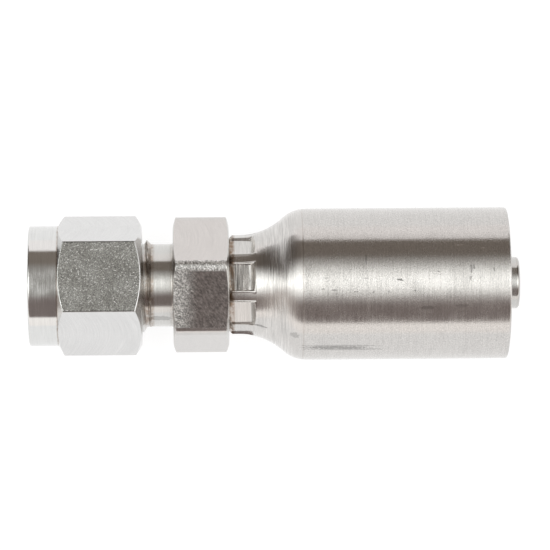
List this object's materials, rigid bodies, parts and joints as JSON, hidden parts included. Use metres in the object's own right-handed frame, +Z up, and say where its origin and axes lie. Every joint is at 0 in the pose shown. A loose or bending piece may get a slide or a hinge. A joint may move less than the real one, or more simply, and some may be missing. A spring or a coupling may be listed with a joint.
{
  "type": "hydraulic hose fitting",
  "caption": "Straight stainless hydraulic fitting that joins a rigid tube, held by a nut and two ferrules, to a hose crimped in a ridged shell.",
  "frame": {"origin": "on the axis of the fitting, at the shoulder in the body on which the tube bottoms", "axes": "+X along the axis from the tube end to the hose end, +Z up, with the part lying on its side"},
  "size_m": [0.0572, 0.0176, 0.0176],
  "materials": {
    "nut_steel": "bright turned and polished stainless steel, with drawn hexagon flats",
    "ferrule_steel": "fine turned stainless steel",
    "body_steel": "bright turned stainless steel, with drawn hexagon flats",
    "shell_steel": "satin turned stainless steel with fine rings left by the tool"
  },
  "bodies": {
    "fitting": {"fitting_body": "body_steel", "hose_shell": "shell_steel"},
    "ferrules": {"front_ferrule": "ferrule_steel", "back_ferrule": "ferrule_steel"},
    "nut": {"compression_nut": "nut_steel"}
  },
  "joints": [
    {"name": "nut_travel", "type": "slide", "parent": "fitting", "child": "ferrules", "axis": [-1, 0, 0], "range_m": [0, 0.00572]},
    {"name": "nut_turn", "type": "hinge", "parent": "ferrules", "child": "nut", "pos_m": [-0.00696, 0, 0], "axis": [-1, 0, 0], "range_deg": [0, 1620]}
  ],
  "couplings": [
    {"joint": "nut_travel", "follows": "nut_turn", "m_per_rad": 0.00020213}
  ]
}
